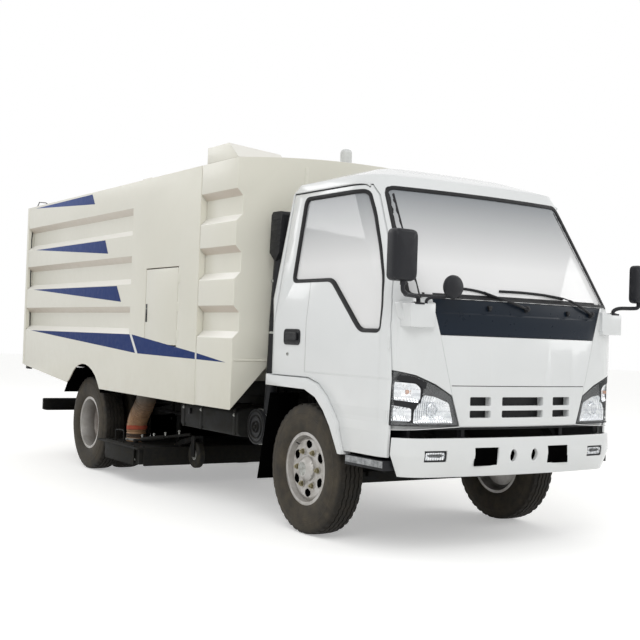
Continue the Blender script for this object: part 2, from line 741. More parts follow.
# A thin plate over a 2D outline, with holes, laid on a surface between two lifts.
def sheetOn(piece, outline, place, lifts, key, holes=()):
    part = bmesh.new()
    for loop in (outline,) + tuple(holes):
        made = [part.verts.new((p[0], p[1], 0)) for p in loop]
        for pair in zip(made, made[1:] + made[:1]):
            part.edges.new(pair)
    bmesh.ops.triangle_fill(part, edges=part.edges, use_beauty=True)
    grown = bmesh.ops.extrude_face_region(part, geom=part.faces[:], use_keep_orig=True)["geom"]
    upper = set(v for v in grown if isinstance(v, bmesh.types.BMVert))
    for vert in part.verts:
        vert.co = place(vert.co.x, vert.co.y, lifts[1] if vert in upper else lifts[0])
    piece.take(part, key)


doorWindow = [
    (213, 1503), (172, 2014), (-440, 2014), (-525, 1875), (-627, 1673), (-699, 1507), (-730, 1367),
    (-738, 1213), (-548, 1213), (-210, 1503),
]
windscreen = [(760, 1403), (671, 2040), (-671, 2040), (-760, 1403)]
rearWindow = [(520, 1520), (500, 1940), (-500, 1940), (-520, 1520)]

eased("cab_shell", 0.003, name="cabShell").done(30)
frontPanel = eased("front_panel", 0.003, name="frontPanel")
for x in range(-500, 500, 25):
    seam = [(x, 930), (x + 25, 930), (x + 25, 934), (x, 934)]
    frontPanel.prism([skinFront(*p, 0.4) for p in seam], (0, 0.002, 0), "seal")
frontPanel.done()
eased("cowl_band", 0.003, name="cowlBand").done()
eased("bumper", 0.006, 3, name="bumperShell").done()


def rearWall(x, z, lift):
    return at(x, 465 - 95 * (z - 1400) / 650 + lift, z)


screenSeal = Piece("screenSeal", "cab")
lip = [(5, 1.5), (5, -3), (-12, -12), (-18, -12.5), (-16, -8), (-6, -1)]
band(screenSeal, denser(roundCorners(windscreen, 60, 6), 40), frontPlace(), lip, "seal")
for side in (-1, 1):
    edge = [(side * x, z) for x, z in ((741, 1420), (662, 2000), (622, 2000), (690, 1420))]
    sheetOn(screenSeal, denser(edge, 60), frontPlace(), (-14.5, -13.2), "seal")
lower = denser([(-735, 1418), (735, 1418), (733, 1430), (-733, 1430)], 60)
sheetOn(screenSeal, lower, frontPlace(), (-14.5, -13.2), "seal")
rearLine = denser(roundCorners(rearWindow, 60, 6), 60)
band(screenSeal, rearLine, rearWall, [(8, 1.5), (8, -3), (-14, -12), (-14, -6)], "seal")
screenSeal.done()


def roundBox(x0, z0, x1, z1, radius, steps, gap):
    return denser(roundCorners([(x0, z0), (x1, z0), (x1, z1), (x0, z1)], radius, steps), gap)


# Skin, window seal, handle, lock and hinges of one cab door.
def door(side):
    piece = eased("door_" + word(side), 0.003, name="cabDoor." + word(side))
    place = sidePlace(side)
    frameLip = [(8, 1.6), (8, -2), (-10, -12), (-15, -12.5), (-13, -6), (-5, 0.2)]
    band(piece, denser(roundCorners(doorWindow, 42, 6), 40), place, frameLip, "seal")
    cup = roundBox(70, 1122, 250, 1212, 26, 5, 30)
    sheetOn(piece, cup, place, (0.2, 3.5), "trim_black")
    band(piece, cup, place, [(3, 0.5), (3, 4.5), (-3, 6), (-8, 4)], "trim_black")
    lever = roundBox(88, 1146, 232, 1194, 18, 5, 30)
    sheetOn(piece, lever, place, (3.5, 15), "trim_black")
    band(piece, lever, place, [(0, 12), (0, 15), (-5, 17.5), (-6, 15)], "trim_black")
    lock = place(208, 1062, 0)
    piece.cylinder(lock, lock + Vector((side * 0.004, 0, 0)), 0.011, "zinc", 24, 0.001)
    piece.cylinder(lock, lock + Vector((side * 0.0055, 0, 0)), 0.004, "seal", 12)
    for z in (760, 1150):
        piece.cylinder(at(side * 834, -802, z - 30), at(side * 834, -802, z + 30), 0.006, "cab_paint", 16)
    inner = [(-640, 1050), (280, 1050), (280, 1400), (-640, 1180)]
    piece.prism([at(side * 803, y, z) for y, z in inner], (side * 0.012, 0, 0), "dark_trim", 0.004)
    piece.box(at(side * 770, -330, 1120), at(side * 803, -60, 1160), "trim_black", 0.008, 3)
    piece.done()


both(door)


def gutter(side):
    rail = Piece("gutter." + word(side), "cab")
    line = [skinSide(y, 2060, 5, side) for y in range(298, -379, -26)]
    line += [skinSide(y, z, 5, side) for y, z in ((-400, 2058), (-424, 2052), (-440, 2040))]
    rail.tube(line, 0.0065, "cab_paint")
    rail.tube([p - Vector((side * 0.001, 0, 0.0085)) for p in line], 0.0035, "seal", 10)
    rail.done()


both(gutter)
print("cab panels")

headlampLine = [(446, 715), (499, 878), (600, 935), (720, 982), (822, 1010), (826, 713)]
headlampBrow = [(499, 872), (600, 928), (720, 974), (822, 1002), (822, 958), (712, 944), (684, 922),
                (590, 882), (502, 846)]
# Each cell's outline, the depth of its dish and the lamp in it.
headlampCells = [
    ([(690, 838), (820, 852), (820, 948), (716, 940), (688, 915)], 14, "amber_lens"),
    ([(736, 739), (820, 739), (820, 822), (736, 808)], 14, "lamp_lens"),
    ([(482, 730), (726, 730), (722, 796), (668, 880), (600, 872), (512, 838)], 20, "lamp_lens"),
]


# A reflector dish that shrinks from a lens outline to its middle.
def bowl(piece, outline, place, depth, key, steps=6):
    middle = sum((Vector(p) for p in outline), Vector((0, 0))) / len(outline)
    rings = []
    for ring in range(steps + 1):
        share = ring / steps
        lift = -7 - depth * math.sin(share * math.pi / 2) ** 0.8
        rings.append([place(*(middle + (Vector(p) - middle) * (1 - share * 0.96)), lift) for p in outline])
    piece.loft(rings, key, caps=(False, True))
    return middle


def headlamp(side):
    lamp = Piece("headlamp." + word(side), "cab", ("headlamps",), "lamp_lens")
    place = frontPlace(side)
    outline = denser(roundCorners(headlampLine, 8, 3), 24)
    lenses = [denser(roundCorners(cell[0], 12, 4), 22) for cell in headlampCells]
    sheetOn(lamp, outline, place, (-28.5, -27.5), "seal")
    sheetOn(lamp, outline, place, (-9, -7), "trim_black", lenses)
    band(lamp, outline, place, [(0, -1), (0, -27), (-5, -27), (-6, -1)], "trim_black")
    for lens, (_, depth, key) in zip(lenses, headlampCells):
        middle = bowl(lamp, lens, place, depth, "reflector")
        band(lamp, lens, place, [(0, -6.8), (4, -5), (7, -6.8)], "trim_black")
        lamp.ball(place(middle.x, middle.y, -9 - depth * 0.5), 0.011, key, (1, 1.3, 1))
    ring = [(0.0, 0.034), (0.006, 0.036), (0.008, 0.031), (0.002, 0.028)]
    lamp.lathe(ring, place(612, 800, -16), (0, -1, 0), "reflector", 40, True)
    sheetOn(lamp, denser(headlampBrow, 24), place, (-6, -2.5), "trim_black")
    sheetOn(lamp, denser(offsetLoop(headlampLine, -4), 24), place, (-2, -0.6), "lamp_lens")
    lamp.done(24)


both(headlamp)


# A small lamp laid on the CAD lamp's face.
def fogLamp(side):
    whole = bmesh.new()
    whole.from_mesh(frame["nodes"]["road_lamps"].data)
    tree = BVHTree.FromBMesh(whole)
    whole.free()
    ahead = Vector((0, 1, 0))
    front = tree.ray_cast(at(side * 602, -1200, 554), ahead)[0].y

    def place(x, z, lift):
        spot = Vector((side * x * mm, front - 0.2, z * mm))
        surface = tree.ray_cast(spot, ahead)[0]
        depth = front if surface is None else surface.y
        return Vector((spot.x, depth - lift * mm, spot.z))

    lamp = Piece("fogLamp." + word(side), "chassis")
    rim = [(2, 0.2), (2, 4), (-4, 4), (-5, 0.2)]
    band(lamp, roundBox(536, 528, 668, 580, 8, 3, 20), place, rim, "trim_black")
    inner = roundBox(543, 534, 661, 574, 8, 3, 20)
    sheetOn(lamp, inner, place, (0.3, 1.2), "reflector")
    sheetOn(lamp, inner, place, (2, 3), "lamp_lens")
    lamp.done(24)


both(fogLamp)
print("lamps")

# Each wiper's blade line and its pivot, as (x, height) on the cab's front.
wiperLines = [
    ([(-445, 1465), (-370, 1461), (-294, 1450), (-235, 1432), (-171, 1412)], (-2, 1365)),
    ([(-163, 1462), (0, 1463), (162, 1458), (250, 1450), (326, 1440)], (547, 1355)),
]
wipers = Piece("wipers", "cab", (), "trim_black")
for blade, pivot in wiperLines:
    line = smoothPath([skinFront(x, z, -3) for x, z in blade], 6)
    wipers.tube(line, 0.0055, "trim_black", 8)
    wipers.tube([p + Vector((0, 0.004, -0.006)) for p in line], 0.003, "seal", 8)
    halfWay = [(a + b) / 2 for a, b in zip(blade[-1], pivot)]
    arm = smoothPath([skinFront(*blade[2], 12), skinFront(*blade[-1], 16), skinFront(*halfWay, 17),
                      skinFront(*pivot, 13)], 6)
    wipers.tube(arm, [0.004] * 8 + [0.0075] * (len(arm) - 8), "trim_black", 10)
    base = skinFront(*pivot)
    wipers.cylinder(base + Vector((0, 0.004, -0.004)), base + Vector((0, -0.02, 0.008)), 0.017,
                    "trim_black", 24, 0.003)
    wipers.bolt(base + Vector((0, -0.018, 0.007)), (0, -0.9, 0.3), 0.008, "trim_black")
for x, z in ((-271, 1363), (336, 1358)):
    base = skinFront(x, z)
    wipers.box(base - Vector((0.012, 0.016, 0.008)), base + Vector((0.012, 0.004, 0.01)), "trim_black", 0.004, 3)
    wipers.cylinder(base, base - Vector((0, 0.012, 0.016)), 0.009, "trim_black", 16, 0.002)
wipers.done()


# The moulded bracket that carries a mirror arm: each corner as (x, height, lift).
def pod(side):
    corners = ((636, 1377, 30), (806, 1377, 30), (806, 1290, 34), (780, 1246, 22), (700, 1236, 20), (636, 1262, 30))
    rings = [[skinFront(side * x, z, lift if outer else -6) for x, z, lift in corners] for outer in (True, False)]
    piece = Piece("mirrorPod." + word(side), "cab", (), "cab_paint")
    piece.loft(rings, "cab_paint", 0.009, 4)
    piece.done()


both(pod)

mirrorSpecs = [
    {"side": -1, "x": (-985, -833), "z": (1475, 1745), "y": (-1040, -960), "stem": -905, "yStem": -1000, "low": 1480},
    {"side": 1, "x": (855, 985), "z": (1440, 1670), "y": (-1010, -945), "stem": 915, "yStem": -975, "low": 1445},
]
# How far out and how deep each ring of a mirror shell lies, from its back to its face.
mirrorShell = ((0.01, 0.0), (0.55, 0.0), (0.86, 0.06), (0.96, 0.2), (1.0, 0.45), (1.0, 0.92),
               (0.985, 1.0), (0.9, 1.0))
mirrors = Piece("mirrors.shells", "cab", ("mirrors",), "trim_black")
for spec in mirrorSpecs:
    (x0, x1), (z0, z1), (y0, y1) = spec["x"], spec["z"], spec["y"]
    outline = roundCorners([(x0, z0), (x1, z0), (x1, z1), (x0, z1)], 34, 8)
    mx, mz = (x0 + x1) / 2, (z0 + z1) / 2
    mirrors.loft([[at(mx + (p.x - mx) * share, y0 + (y1 - y0) * depth, mz + (p.y - mz) * share) for p in outline]
                  for share, depth in mirrorShell], "mirror_black", caps=(False, False))
    face = [at(mx + (p.x - mx) * 0.9, y1 - 3, mz + (p.y - mz) * 0.93) for p in outline]
    mirrors.prism(face, (0, 0.002, 0), "mirror_glass")
    side, stem, yStem, low = (spec[key] for key in ("side", "stem", "yStem", "low"))
    foot = side * 745
    arm = [(foot, -926, 1362), (foot, -928, 1388), (side * 775, -945, 1404),
           (side * 860, (-926 + yStem) / 2 - 6, 1408), (stem - side * 20, yStem, 1412),
           (stem, yStem, 1430), (stem, yStem, low + 14)]
    mirrors.tube(smoothPath([at(*p) for p in arm], 6), 0.0115, "mirror_black", 14)
    mirrors.cylinder(at(stem, yStem, low - 26), at(stem, yStem, low + 6), 0.016, "mirror_black", 20, 0.003)
    mirrors.box(at(foot - 32, -946, 1362), at(foot + 32, -906, 1372), "mirror_black", 0.003)
    for x in (-20, 20):
        mirrors.bolt(at(foot + x, -926, 1371), (0, 0, 1), 0.006)
rod = [(-690, -928, 1362), (-690, -930, 1386), (-668, -950, 1402), (-610, -1004, 1408),
       (-588, -1018, 1416), (-585, -1020, 1432)]
mirrors.tube(smoothPath([at(*p) for p in rod], 6), 0.0085, "mirror_black")
ball = [(-0.02, 0), (-0.019, 0.03), (-0.012, 0.052), (0.0, 0.062), (0.012, 0.064), (0.02, 0.062)]
mirrors.lathe(ball, at(-585, -1029, 1460), (0, 1, 0), "mirror_black", 48)
mirrors.lathe([(0.0205, 0), (0.0195, 0.058), (0.0185, 0.06)], at(-585, -1029, 1460), (0, 1, 0), "mirror_glass", 48)
mirrors.done()
print("mirrors")

boxFace = 1000      # half the body's width
# Outlines on the flank, as (y, height): blue wedges and the pale lines that part them.
stripeShapes = {
    "stripes.hopper.": ("hopper", {
        "stripe": [
            [(4571, 2285), (3148, 2288), (3083, 2201)],
            [(4526, 1892), (2831, 1890), (2762, 1779)],
            [(4563, 1524), (2558, 1517), (2463, 1392)],
            [(4601, 1144), (2277, 1144), (2160, 1005)],
            [(2236, 1144), (2115, 1003), (1161, 994), (1161, 1038)],
        ],
        "cab_paint": [
            [(2272, 1144), (2241, 1144), (2120, 1003), (2155, 1005)],
            [(1160, 1040), (1153, 1041), (1153, 992), (1160, 992)],
        ],
    }),
    "stripes.front.": ("chassis", {
        "stripe": [[(1137, 1036), (1137, 994), (721, 988)]],
        "cab_paint": [[(1145, 1040), (1138, 1040), (1138, 992), (1145, 992)]],
    }),
}


# Thin film on the flat faces.
def stripes(side):
    for name, (body, films) in stripeShapes.items():
        film = Piece(name + word(side), body)
        for key, outlines in films.items():
            for outline in outlines:
                line = [at(side * (boxFace - 0.2), y, z) for y, z in outline]
                film.prism(line, (side * 0.0006, 0, 0), key)
        film.done()


both(stripes)


# Two opposite corners of a box on one side, its x counted outwards.
def slab(piece, side, low, high, key, bevel=0.002, segments=2):
    piece.box(at(side * low[0], *low[1:]), at(side * high[0], *high[1:]), key, bevel, segments)


hopper = eased("hopper_shell", 0.004, 3, name="hopperShell")
hatchLow, hatchHigh, archLow, archHigh = (1450, 1062), (2016, 1641), (2986, 849), (3474, 893)
for side in (-1, 1):
    for (y0, z0), (y1, z1) in ((hatchLow, (hatchHigh[0], hatchLow[1])), ((hatchLow[0], hatchHigh[1]), hatchHigh),
                               (hatchLow, (hatchLow[0], hatchHigh[1])), ((hatchHigh[0], hatchLow[1]), hatchHigh)):
        slab(hopper, side, (999, y0 - 7.5, z0 - 7.5), (966, y1 + 7.5, z1 + 7.5), "box_paint", 0.0015)
    for low, high in (((938, archLow[0], archLow[1]), (941.5, archHigh[0], archHigh[1])),
                      ((939, archLow[0], 890.5), (991, archHigh[0], 894)),
                      ((939, 2983.5, 850), (991, 2986.5, 893)), ((939, 3473.5, 850), (991, 3476.5, 893))):
        slab(hopper, side, low, high, "arch_black", 0.0005)
for x in (-620, 0, 620):
    roof = 2303 + 62 * (1 - (x / 1000) ** 2)
    eye = [(x - 40, roof - 3), (x - 40, roof + 9), (x + 40, roof + 9), (x + 40, roof - 3)]
    hopper.tube([at(across, 3500, z) for across, z in eye], 0.008, "box_paint")
hopper.done(30)

compartment = eased("front_compartment", 0.004, 3, name="frontCompartment")
for x in (-484, 0, 484):
    compartment.box(at(x - 13, 641.6, 1030), at(x + 13, 645, 2290), "box_paint", 0.0012)
    for rivet in range(14):
        spot = at(x, 641.8, 1080 + 90 * rivet)
        compartment.cylinder(spot, spot - Vector((0, 0.0024, 0)), 0.004, "box_paint", 12, 0.0014)
compartment.box(at(-985, 640, 1000), at(985, 645, 1014), "box_paint", 0.003)
tilt = Matrix.Rotation(math.radians(-28), 4, "X")
for x in (-250, 250):
    for z in range(1300, 1560, 26):
        compartment.box(at(x - 130, 634, z), at(x + 130, 645, z + 16), "box_paint", 0.004, 2, tilt)
for side in (-1, 1):
    slab(compartment, side, (1001.2, 1138, 690), (999, 1146, 985), "box_paint", 0.0008)
compartment.done(30)

bodySeal = Piece("bodySeal", "chassis")
sealLine = [(-930, 720), (-930, 2240), (-700, 2305), (0, 2335), (700, 2305), (930, 2240), (930, 720)]
bodySeal.tube(smoothPath([at(x, 1146, z) for x, z in sealLine], 5), 0.0052, "seal", 8)
bodySeal.done()

hatchFit = {"skin": 1000, "pin": 1462, "pinRadius": 0.0033, "hinges": (1150, 1350, 1550), "lock": (1980, 1338)}


# Side hatch: eased skin, flush handle and a corner lock, with its hinges on the body.
def hatch(side):
    skin, pin = hatchFit["skin"], hatchFit["pin"]
    piece = eased("access_door_" + word(side), 0.003, name="sideHatch." + word(side))
    slab(piece, side, (skin - 1.5, 1966, 1239), (skin + 1.2, 1994, 1372), "mirror_black", 0.004, 3)
    slab(piece, side, (skin, 1974, 1246), (skin + 3.4, 1987, 1308), "trim_black", 0.003, 3)
    lock = at(side * skin, *hatchFit["lock"])
    piece.cylinder(lock, lock + Vector((side * 0.003, 0, 0)), 0.0065, "zinc", 24, 0.001)
    slab(piece, side, (skin - 2, 1486, 1098), (skin + 0.4, 1490, 1605), "box_paint", 0.0008)
    piece.done(30)
    hinges = Piece("hatchHinges." + word(side), "hopper", (), "box_paint")
    for z in hatchFit["hinges"]:
        hinges.cylinder(at(side * skin, pin, z - 38), at(side * skin, pin, z + 38), hatchFit["pinRadius"],
                        "box_paint", 16, 0.0006)
        slab(hinges, side, (skin - 1, 1432, z - 36), (skin + 1.5, 1459.5, z + 36), "box_paint", 0.001)
    hinges.done()


both(hatch)

eased("outlet_hood", 0.004, 3, name="outletHood").done(30)

roofLamp = Piece("roofBeacon", "chassis", ("beacon",), "beacon_amber")
base = at(0, 900, 2377.3)
foot = [(0, 0), (0, 0.052), (0.016, 0.052), (0.022, 0.049), (0.026, 0.043), (0.026, 0)]
roofLamp.lathe(foot, base, (0, 0, 1), "trim_black", 72)
dome = [(0.024, 0), (0.024, 0.0405), (0.05, 0.0415)]
for rib in range(7):
    dome += [(0.05 + rib * 0.008, 0.0415), (0.053 + rib * 0.008, 0.0395)]
dome += [(0.106, 0.040), (0.116, 0.036), (0.123, 0.026), (0.1265, 0.012), (0.127, 0)]
roofLamp.lathe(dome, base, (0, 0, 1), "beacon_amber")
for step in range(3):
    angle = math.radians(120 * step + 30)
    roofLamp.bolt(base + Vector((math.cos(angle) * 0.047, math.sin(angle) * 0.047, 0.019)), (0, 0, 1), 0.003)
roofLamp.done()

rear = eased("rear_door", 0.004, 3, name="rearDoor")
for side in (-1, 1):
    slab(rear, side, (940, 4800, 1000), (965, 4806, 2080), "box_paint")
    for z in (900, 1300, 1780):
        slab(rear, side, (900, 4800, z - 26), (972, 4812, z + 26), "frame_black", 0.004, 3)
        rear.bolt(at(side * 936, 4812, z), (0, 1, 0), 0.012)
    for x in (330, 660):
        slab(rear, side, (x - 14, 4800, 880), (x + 14, 4808, 2150), "box_paint", 0.003)
grip = [(-160, 4801, 960), (-160, 4812, 966), (-60, 4814, 968), (60, 4814, 968), (160, 4812, 966), (160, 4801, 960)]
rear.tube(smoothPath([at(*p) for p in grip], 6), 0.009, "frame_black", 14)
rear.done(30)

rearSeal = Piece("rearDoorSeal", "hopper")
outline = [(-955, 850), (-955, 2260), (-700, 2300), (-350, 2322), (0, 2330), (350, 2322), (700, 2300),
           (955, 2260), (955, 850)]
line = smoothPath([at(x, 4746.5, z) for x, z in outline], 4) + [at(0, 4746.5, 845)]
rearSeal.tube(line, 0.0045, "seal", 8, True)
rearSeal.done()


# The bracket and pin under the rear door's edge, on the hopper.
def doorLock(side):
    lock = Piece("doorLock." + word(side), "hopper", (), "frame_black")
    slab(lock, side, (955, 4640, 780), (985, 4744, 850), "frame_black", 0.006, 3)
    lock.cylinder(at(side * 970, 4700, 812), at(side * 992, 4700, 812), 0.016, "zinc", 24, 0.002)
    lock.bolt(at(side * 990, 4700, 812), (side, 0, 0), 0.008)
    lock.done()


both(doorLock)

eased("underrun_bar", 0.005, 3, name="underrunBar").done()
lamps = eased("road_lamps", 0.003, key="trim_black", name="roadLamps")
for side in (-1, 1):
    for x0, x1, key in ((566, 668, "red_lens"), (671, 729, "lamp_lens"), (732, 814, "amber_lens")):
        slab(lamps, side, (x0, 4714, 406), (x1, 4724, 494), "reflector")
        slab(lamps, side, (x0, 4716, 406), (x1, 4732, 494), key, 0.005, 4)
    for x in (562, 818):
        lamps.bolt(at(side * x, 4715, 402), (0, 1, 0), 0.003)
lamps.done()
plate = Piece("plateHolder", "chassis", (), "trim_black")
plate.box(at(-230, 4680, 380), at(230, 4688, 500), "trim_black", 0.004, 3)
plate.box(at(-220, 4687, 386), at(220, 4690, 494), "cab_paint")
for x in (-180, 180):
    plate.bolt(at(x, 4690, 478), (0, 1, 0), 0.006)
plate.done()
print("body")

chassisFrame = eased("chassis_frame", 0.003, 3, name="chassisFrame")
for side in (-1, 1):
    for y in list(range(150, 2850, 225)) + [3900, 4125, 4350]:
        for z in (470, 570):
            chassisFrame.bolt(at(side * 455, y, z), (side, 0, 0), 0.008, "frame_black")
# Dark shields along and across the frame, and behind the bumper with its openings.
for low, high in (((331, 1655, 330), (337, 2930, 540)), ((-458, 3020, 262), (458, 3026, 560)),
                  ((-560, -906, 450), (560, -900, 640))):
    chassisFrame.box(at(*low), at(*high), "arch_black")
for side in (-1, 1):
    slab(chassisFrame, side, (183, -967, 497), (355, -963.5, 600), "arch_black", 0.0005)
pipe = [(-470, 1700, 520), (-480, 2100, 512), (-478, 2500, 524), (-462, 2850, 520)]
chassisFrame.tube(smoothPath([at(*p) for p in pipe], 6), 0.009, "seal", 10)
chassisFrame.done(30)

fuelTank = eased("fuel_tank", 0.012, 3, name="fuelTank")
for y in (850, 1330, 1600):
    fuelTank.box(at(-853, y - 18, 505), at(-845, y + 18, 676), "frame_black", 0.003)
    fuelTank.box(at(-848, y - 18, 677), at(-460, y + 18, 684), "frame_black", 0.003)
    fuelTank.bolt(at(-852, y, 640), (-1, 0, 0), 0.008)
fuelTank.cylinder(at(-760, 1180, 678), at(-760, 1180, 712), 0.042, "trim_black", 40, 0.005)
fuelTank.box(at(-866, 1480, 600), at(-850, 1500, 640), "trim_black", 0.003)
fuelTank.done(30)

batteryBox = eased("battery_box", 0.006, 3, name="batteryBox")
batteryBox.box(at(345, 696, 655), at(856, 1256, 690), "frame_black", 0.006, 3)
for y in (760, 1190):
    batteryBox.box(at(850, y - 12, 600), at(858, y + 12, 672), "zinc", 0.003)
batteryBox.done(30)

intakeFit = {"y": 645, "z": 580, "rings": ((0.1, 0.004), (0.072, 0.007), (0.034, 0.01))}


# A flat band round something, from its inner and outer radius and half its width.
def clampLine(inner, outer, half):
    return [(-half, inner), (-half, outer), (half, outer), (half, inner)]


airIntake = eased("air_intake", 0.004, 3, name="airIntake")
for radius, out in intakeFit["rings"]:
    ring = [(-0.002, radius + 0.006), (out, radius + 0.003), (out, radius - 0.003), (-0.002, radius - 0.006)]
    airIntake.lathe(ring, at(-805, intakeFit["y"], intakeFit["z"]), (-1, 0, 0), "frame_black", 72)
airIntake.bolt(at(-806, intakeFit["y"], intakeFit["z"]), (-1, 0, 0), 0.011, "frame_black", 0.012)
for x in (-770, -560):
    airIntake.lathe(clampLine(0.112, 0.1155, 0.008), at(x, intakeFit["y"], intakeFit["z"]), (1, 0, 0), "zinc", 72)
for z in (1190, 1520):
    airIntake.lathe(clampLine(0.038, 0.0405, 0.007), at(-742, 553 - (z - 1100) * 0.03, z), (0, 0, 1), "zinc", 40)
for z in range(1735, 1906, 34):
    airIntake.box(at(-792.5, 448, z), at(-788.5, 545, z + 12), "trim_black")
airIntake.done(30)

mudguards = eased("mudguards", 0.002, 3, "arch_black", name="mudguards")
for side in (-1, 1):
    for y, z in ((2905, 768), (3050, 840), (3420, 840), (3565, 768)):
        mudguards.bolt(at(side * 960, y, z), (0, 0, 1), 0.007, "arch_black")
mudguards.done(30)

for node, width in (("front_axle", 0.004), ("rear_axle", 0.006), ("leaf_springs", 0.002), ("engine", 0.006),
                    ("hopper_subframe", 0.003), ("hoist_barrel", 0.003), ("knuckle_left", 0.003),
                    ("knuckle_right", 0.003), ("fan_engine", 0.006), ("cab_floor", 0.004)):
    plain = eased(node, width, 3)
    if node == "leaf_springs":
        for side in (-1, 1):
            for y in (-45, 45, 3263, 3353):     # the U-bolts over the axles
                bow = [(side * x, y, z) for x, z in ((373, 372), (373, 500), (457, 500), (457, 372))]
                plain.tube(smoothPath([at(*p) for p in bow], 4), 0.008, "zinc", 10)
    plain.done(30)

nozzleFit = {"strut": ((-800, 2540, 308), (-596, 1994, 402)), "sleeve": (0.12, 0.55),
             "fittings": (0.12, 0.34, 0.55, 0.8), "bolts": (2200, 2300, 2420, 2800, 2880)}
nozzle = eased("nozzle", 0.003, 3, name="nozzleHead")
strutStart, strutEnd = (at(*p) for p in nozzleFit["strut"])
sleeve = [strutStart.lerp(strutEnd, share) for share in nozzleFit["sleeve"]]
nozzle.cylinder(strutStart, strutEnd, 0.011, "frame_black", 24, 0.002)
nozzle.cylinder(*sleeve, 0.019, "frame_black", 28, 0.003)
nozzle.box(at(-815, 2520, 288), at(-785, 2560, 318), "frame_black", 0.004)
for share in nozzleFit["fittings"]:
    spot = strutStart.lerp(strutEnd, share)
    nozzle.cylinder(spot, spot + Vector((0, 0, 0.036)), 0.0065, "zinc", 16, 0.001)
    nozzle.bolt(spot + Vector((0, 0, 0.03)), (0, 0, 1), 0.009, "zinc", 0.01)
handle = [(2706, 288), (2706, 362), (2690, 382), (2566, 388), (2548, 370), (2546, 288)]
nozzle.tube(smoothPath([at(-900, y, z) for y, z in handle], 8), 0.0055, "frame_black")
for y in nozzleFit["bolts"]:
    nozzle.bolt(at(-884, y, 290), (0, 0, 1), 0.009, "frame_black")
for side in (-1, 1):
    slab(nozzle, side, (926, 2251, 186), (932, 2809, 200), "zinc")
    for y in range(2290, 2800, 120):
        nozzle.bolt(at(side * 932, y, 193), (side, 0, 0), 0.006)
    slab(nozzle, side, (934, 2251, 152), (942, 2809, 300), "flap_rubber")
for y in (2160, 2910):
    nozzle.box(at(-900, y - 4, 152), at(900, y + 4, 290), "flap_rubber")
nozzle.done(30)

for side in (-1, 1):
    roller = eased("gauge_wheel_" + word(side), 0.006, 3, name="gaugeWheel." + word(side))
    for face in (-1, 1):
        cap = [(face * 0.0235, 0.04), (face * 0.025, 0.034), (face * 0.025, 0.012), (face * 0.0235, 0)]
        roller.lathe(cap, at(side * 549.5, 1970, 250), (side, 0, 0), "zinc", 48)
    roller.done(30)

eased("hoist_rod", 0.0015, key="ram_steel", name="hoistRod").done(30)
eased("steering_wheel", 0.004, 3, name="steeringWheel").done(40)
print("under the body")

hoseFit = {
    "x": -745,
    "route": [(2660, 292), (2660, 360), (2655, 430), (2610, 505), (2530, 585), (2485, 655), (2480, 700), (2480, 730)],
    "radius": 0.0765,
    "rib": 0.0035,
    "pitch": 0.021,
    "ribbed": (0.03, 0.40),     # from and to, along the hose
    "cuff": 0.0015,
    # each band's y, lower and upper edge, radius and finish
    "bands": ((2660, 300, 318, 0.081, "zinc"), (2660, 322, 356, 0.0795, "hose_dark"),
              (2480, 694, 712, 0.081, "zinc")),
}


# A ribbed hose from the nozzle's collar up to the hopper floor, with a clamp at each end.
def suctionHose():
    fit, x = hoseFit, hoseFit["x"]
    hose = Piece("suctionHose", "nozzle_body", ("suction_hose",), "hose_fabric")
    path = smoothPath([at(x, y, z) for y, z in fit["route"]], 16)
    radii, length = [0.078], 0
    for before, after in zip(path, path[1:]):
        length += (after - before).length
        ribbed = fit["ribbed"][0] < length < fit["ribbed"][1]
        wave = fit["rib"] * math.cos(length / fit["pitch"] * 2 * math.pi)
        radii.append(fit["radius"] + (wave if ribbed else fit["cuff"]))
    hose.tube(path, radii, "hose_fabric", 64)
    for y, low, high, radius, key in fit["bands"]:
        centre, tall = at(x, y, low), (high - low) * mm
        line = [(0, 0.074), (0.001, radius), (tall - 0.001, radius), (tall, 0.074)]
        hose.lathe(line, centre, (0, 0, 1), key, 72)
        if key == "zinc":
            hose.box(centre + Vector((-0.088, -0.012, 0.002)), centre + Vector((-0.078, 0.012, tall - 0.002)), key)
            hose.bolt(centre + Vector((-0.083, -0.012, tall / 2)), (0, -1, 0), 0.005)
    cloth = [(0, 0.074), (0.002, 0.0812), (0.032, 0.0812), (0.034, 0.074)]
    hose.lathe(cloth, at(x, 2654, 384), (0, 0.06, 1), "red_cloth", 72)
    made = hose.done(50, False)
    at(x, 2660, 372)
    at(x, 2480, 690)
    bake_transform(made)


suctionHose()


# Ribbed tread on the side edge of the cab's front step.
def stepTread(side):
    tread = Piece("stepTread." + word(side), "cab")
    slab(tread, side, (849, -800, 484), (852.5, -452, 520), "aluminium", 0.0012)
    for z in (491, 499, 507, 515):
        tread.tube([at(side * 852.5, -796, z), at(side * 852.5, -456, z)], 0.0016, "aluminium", 8)
    tread.done()


both(stepTread)

seatFit = {
    "spans": {"driver": (279, 651), "middle": (-148, 196), "passenger": (-651, -279)},
    "corner": 34,
    "crown": 7,
    "columns": 18,
    "around": 44,
    "pull": 0.10,       # how much the ends draw in
    "seam": 0.035,      # depth of the two sewn grooves
    "seamAt": 0.56,
    "fill": 0.6,
}


# The closed 2D polygon as evenly spaced points.
def evenly(loop, count):
    total = sum((b - a).length for a, b in zip(loop, loop[1:] + loop[:1]))
    spaced, run, index = [], 0, 0
    for step in range(count):
        goal = total * step / count
        a, b = loop[index % len(loop)], loop[(index + 1) % len(loop)]
        while run + (b - a).length < goal:
            run += (b - a).length
            index += 1
            a, b = loop[index % len(loop)], loop[(index + 1) % len(loop)]
        spaced.append(a.lerp(b, (goal - run) / max((b - a).length, 1e-6)))
    return spaced


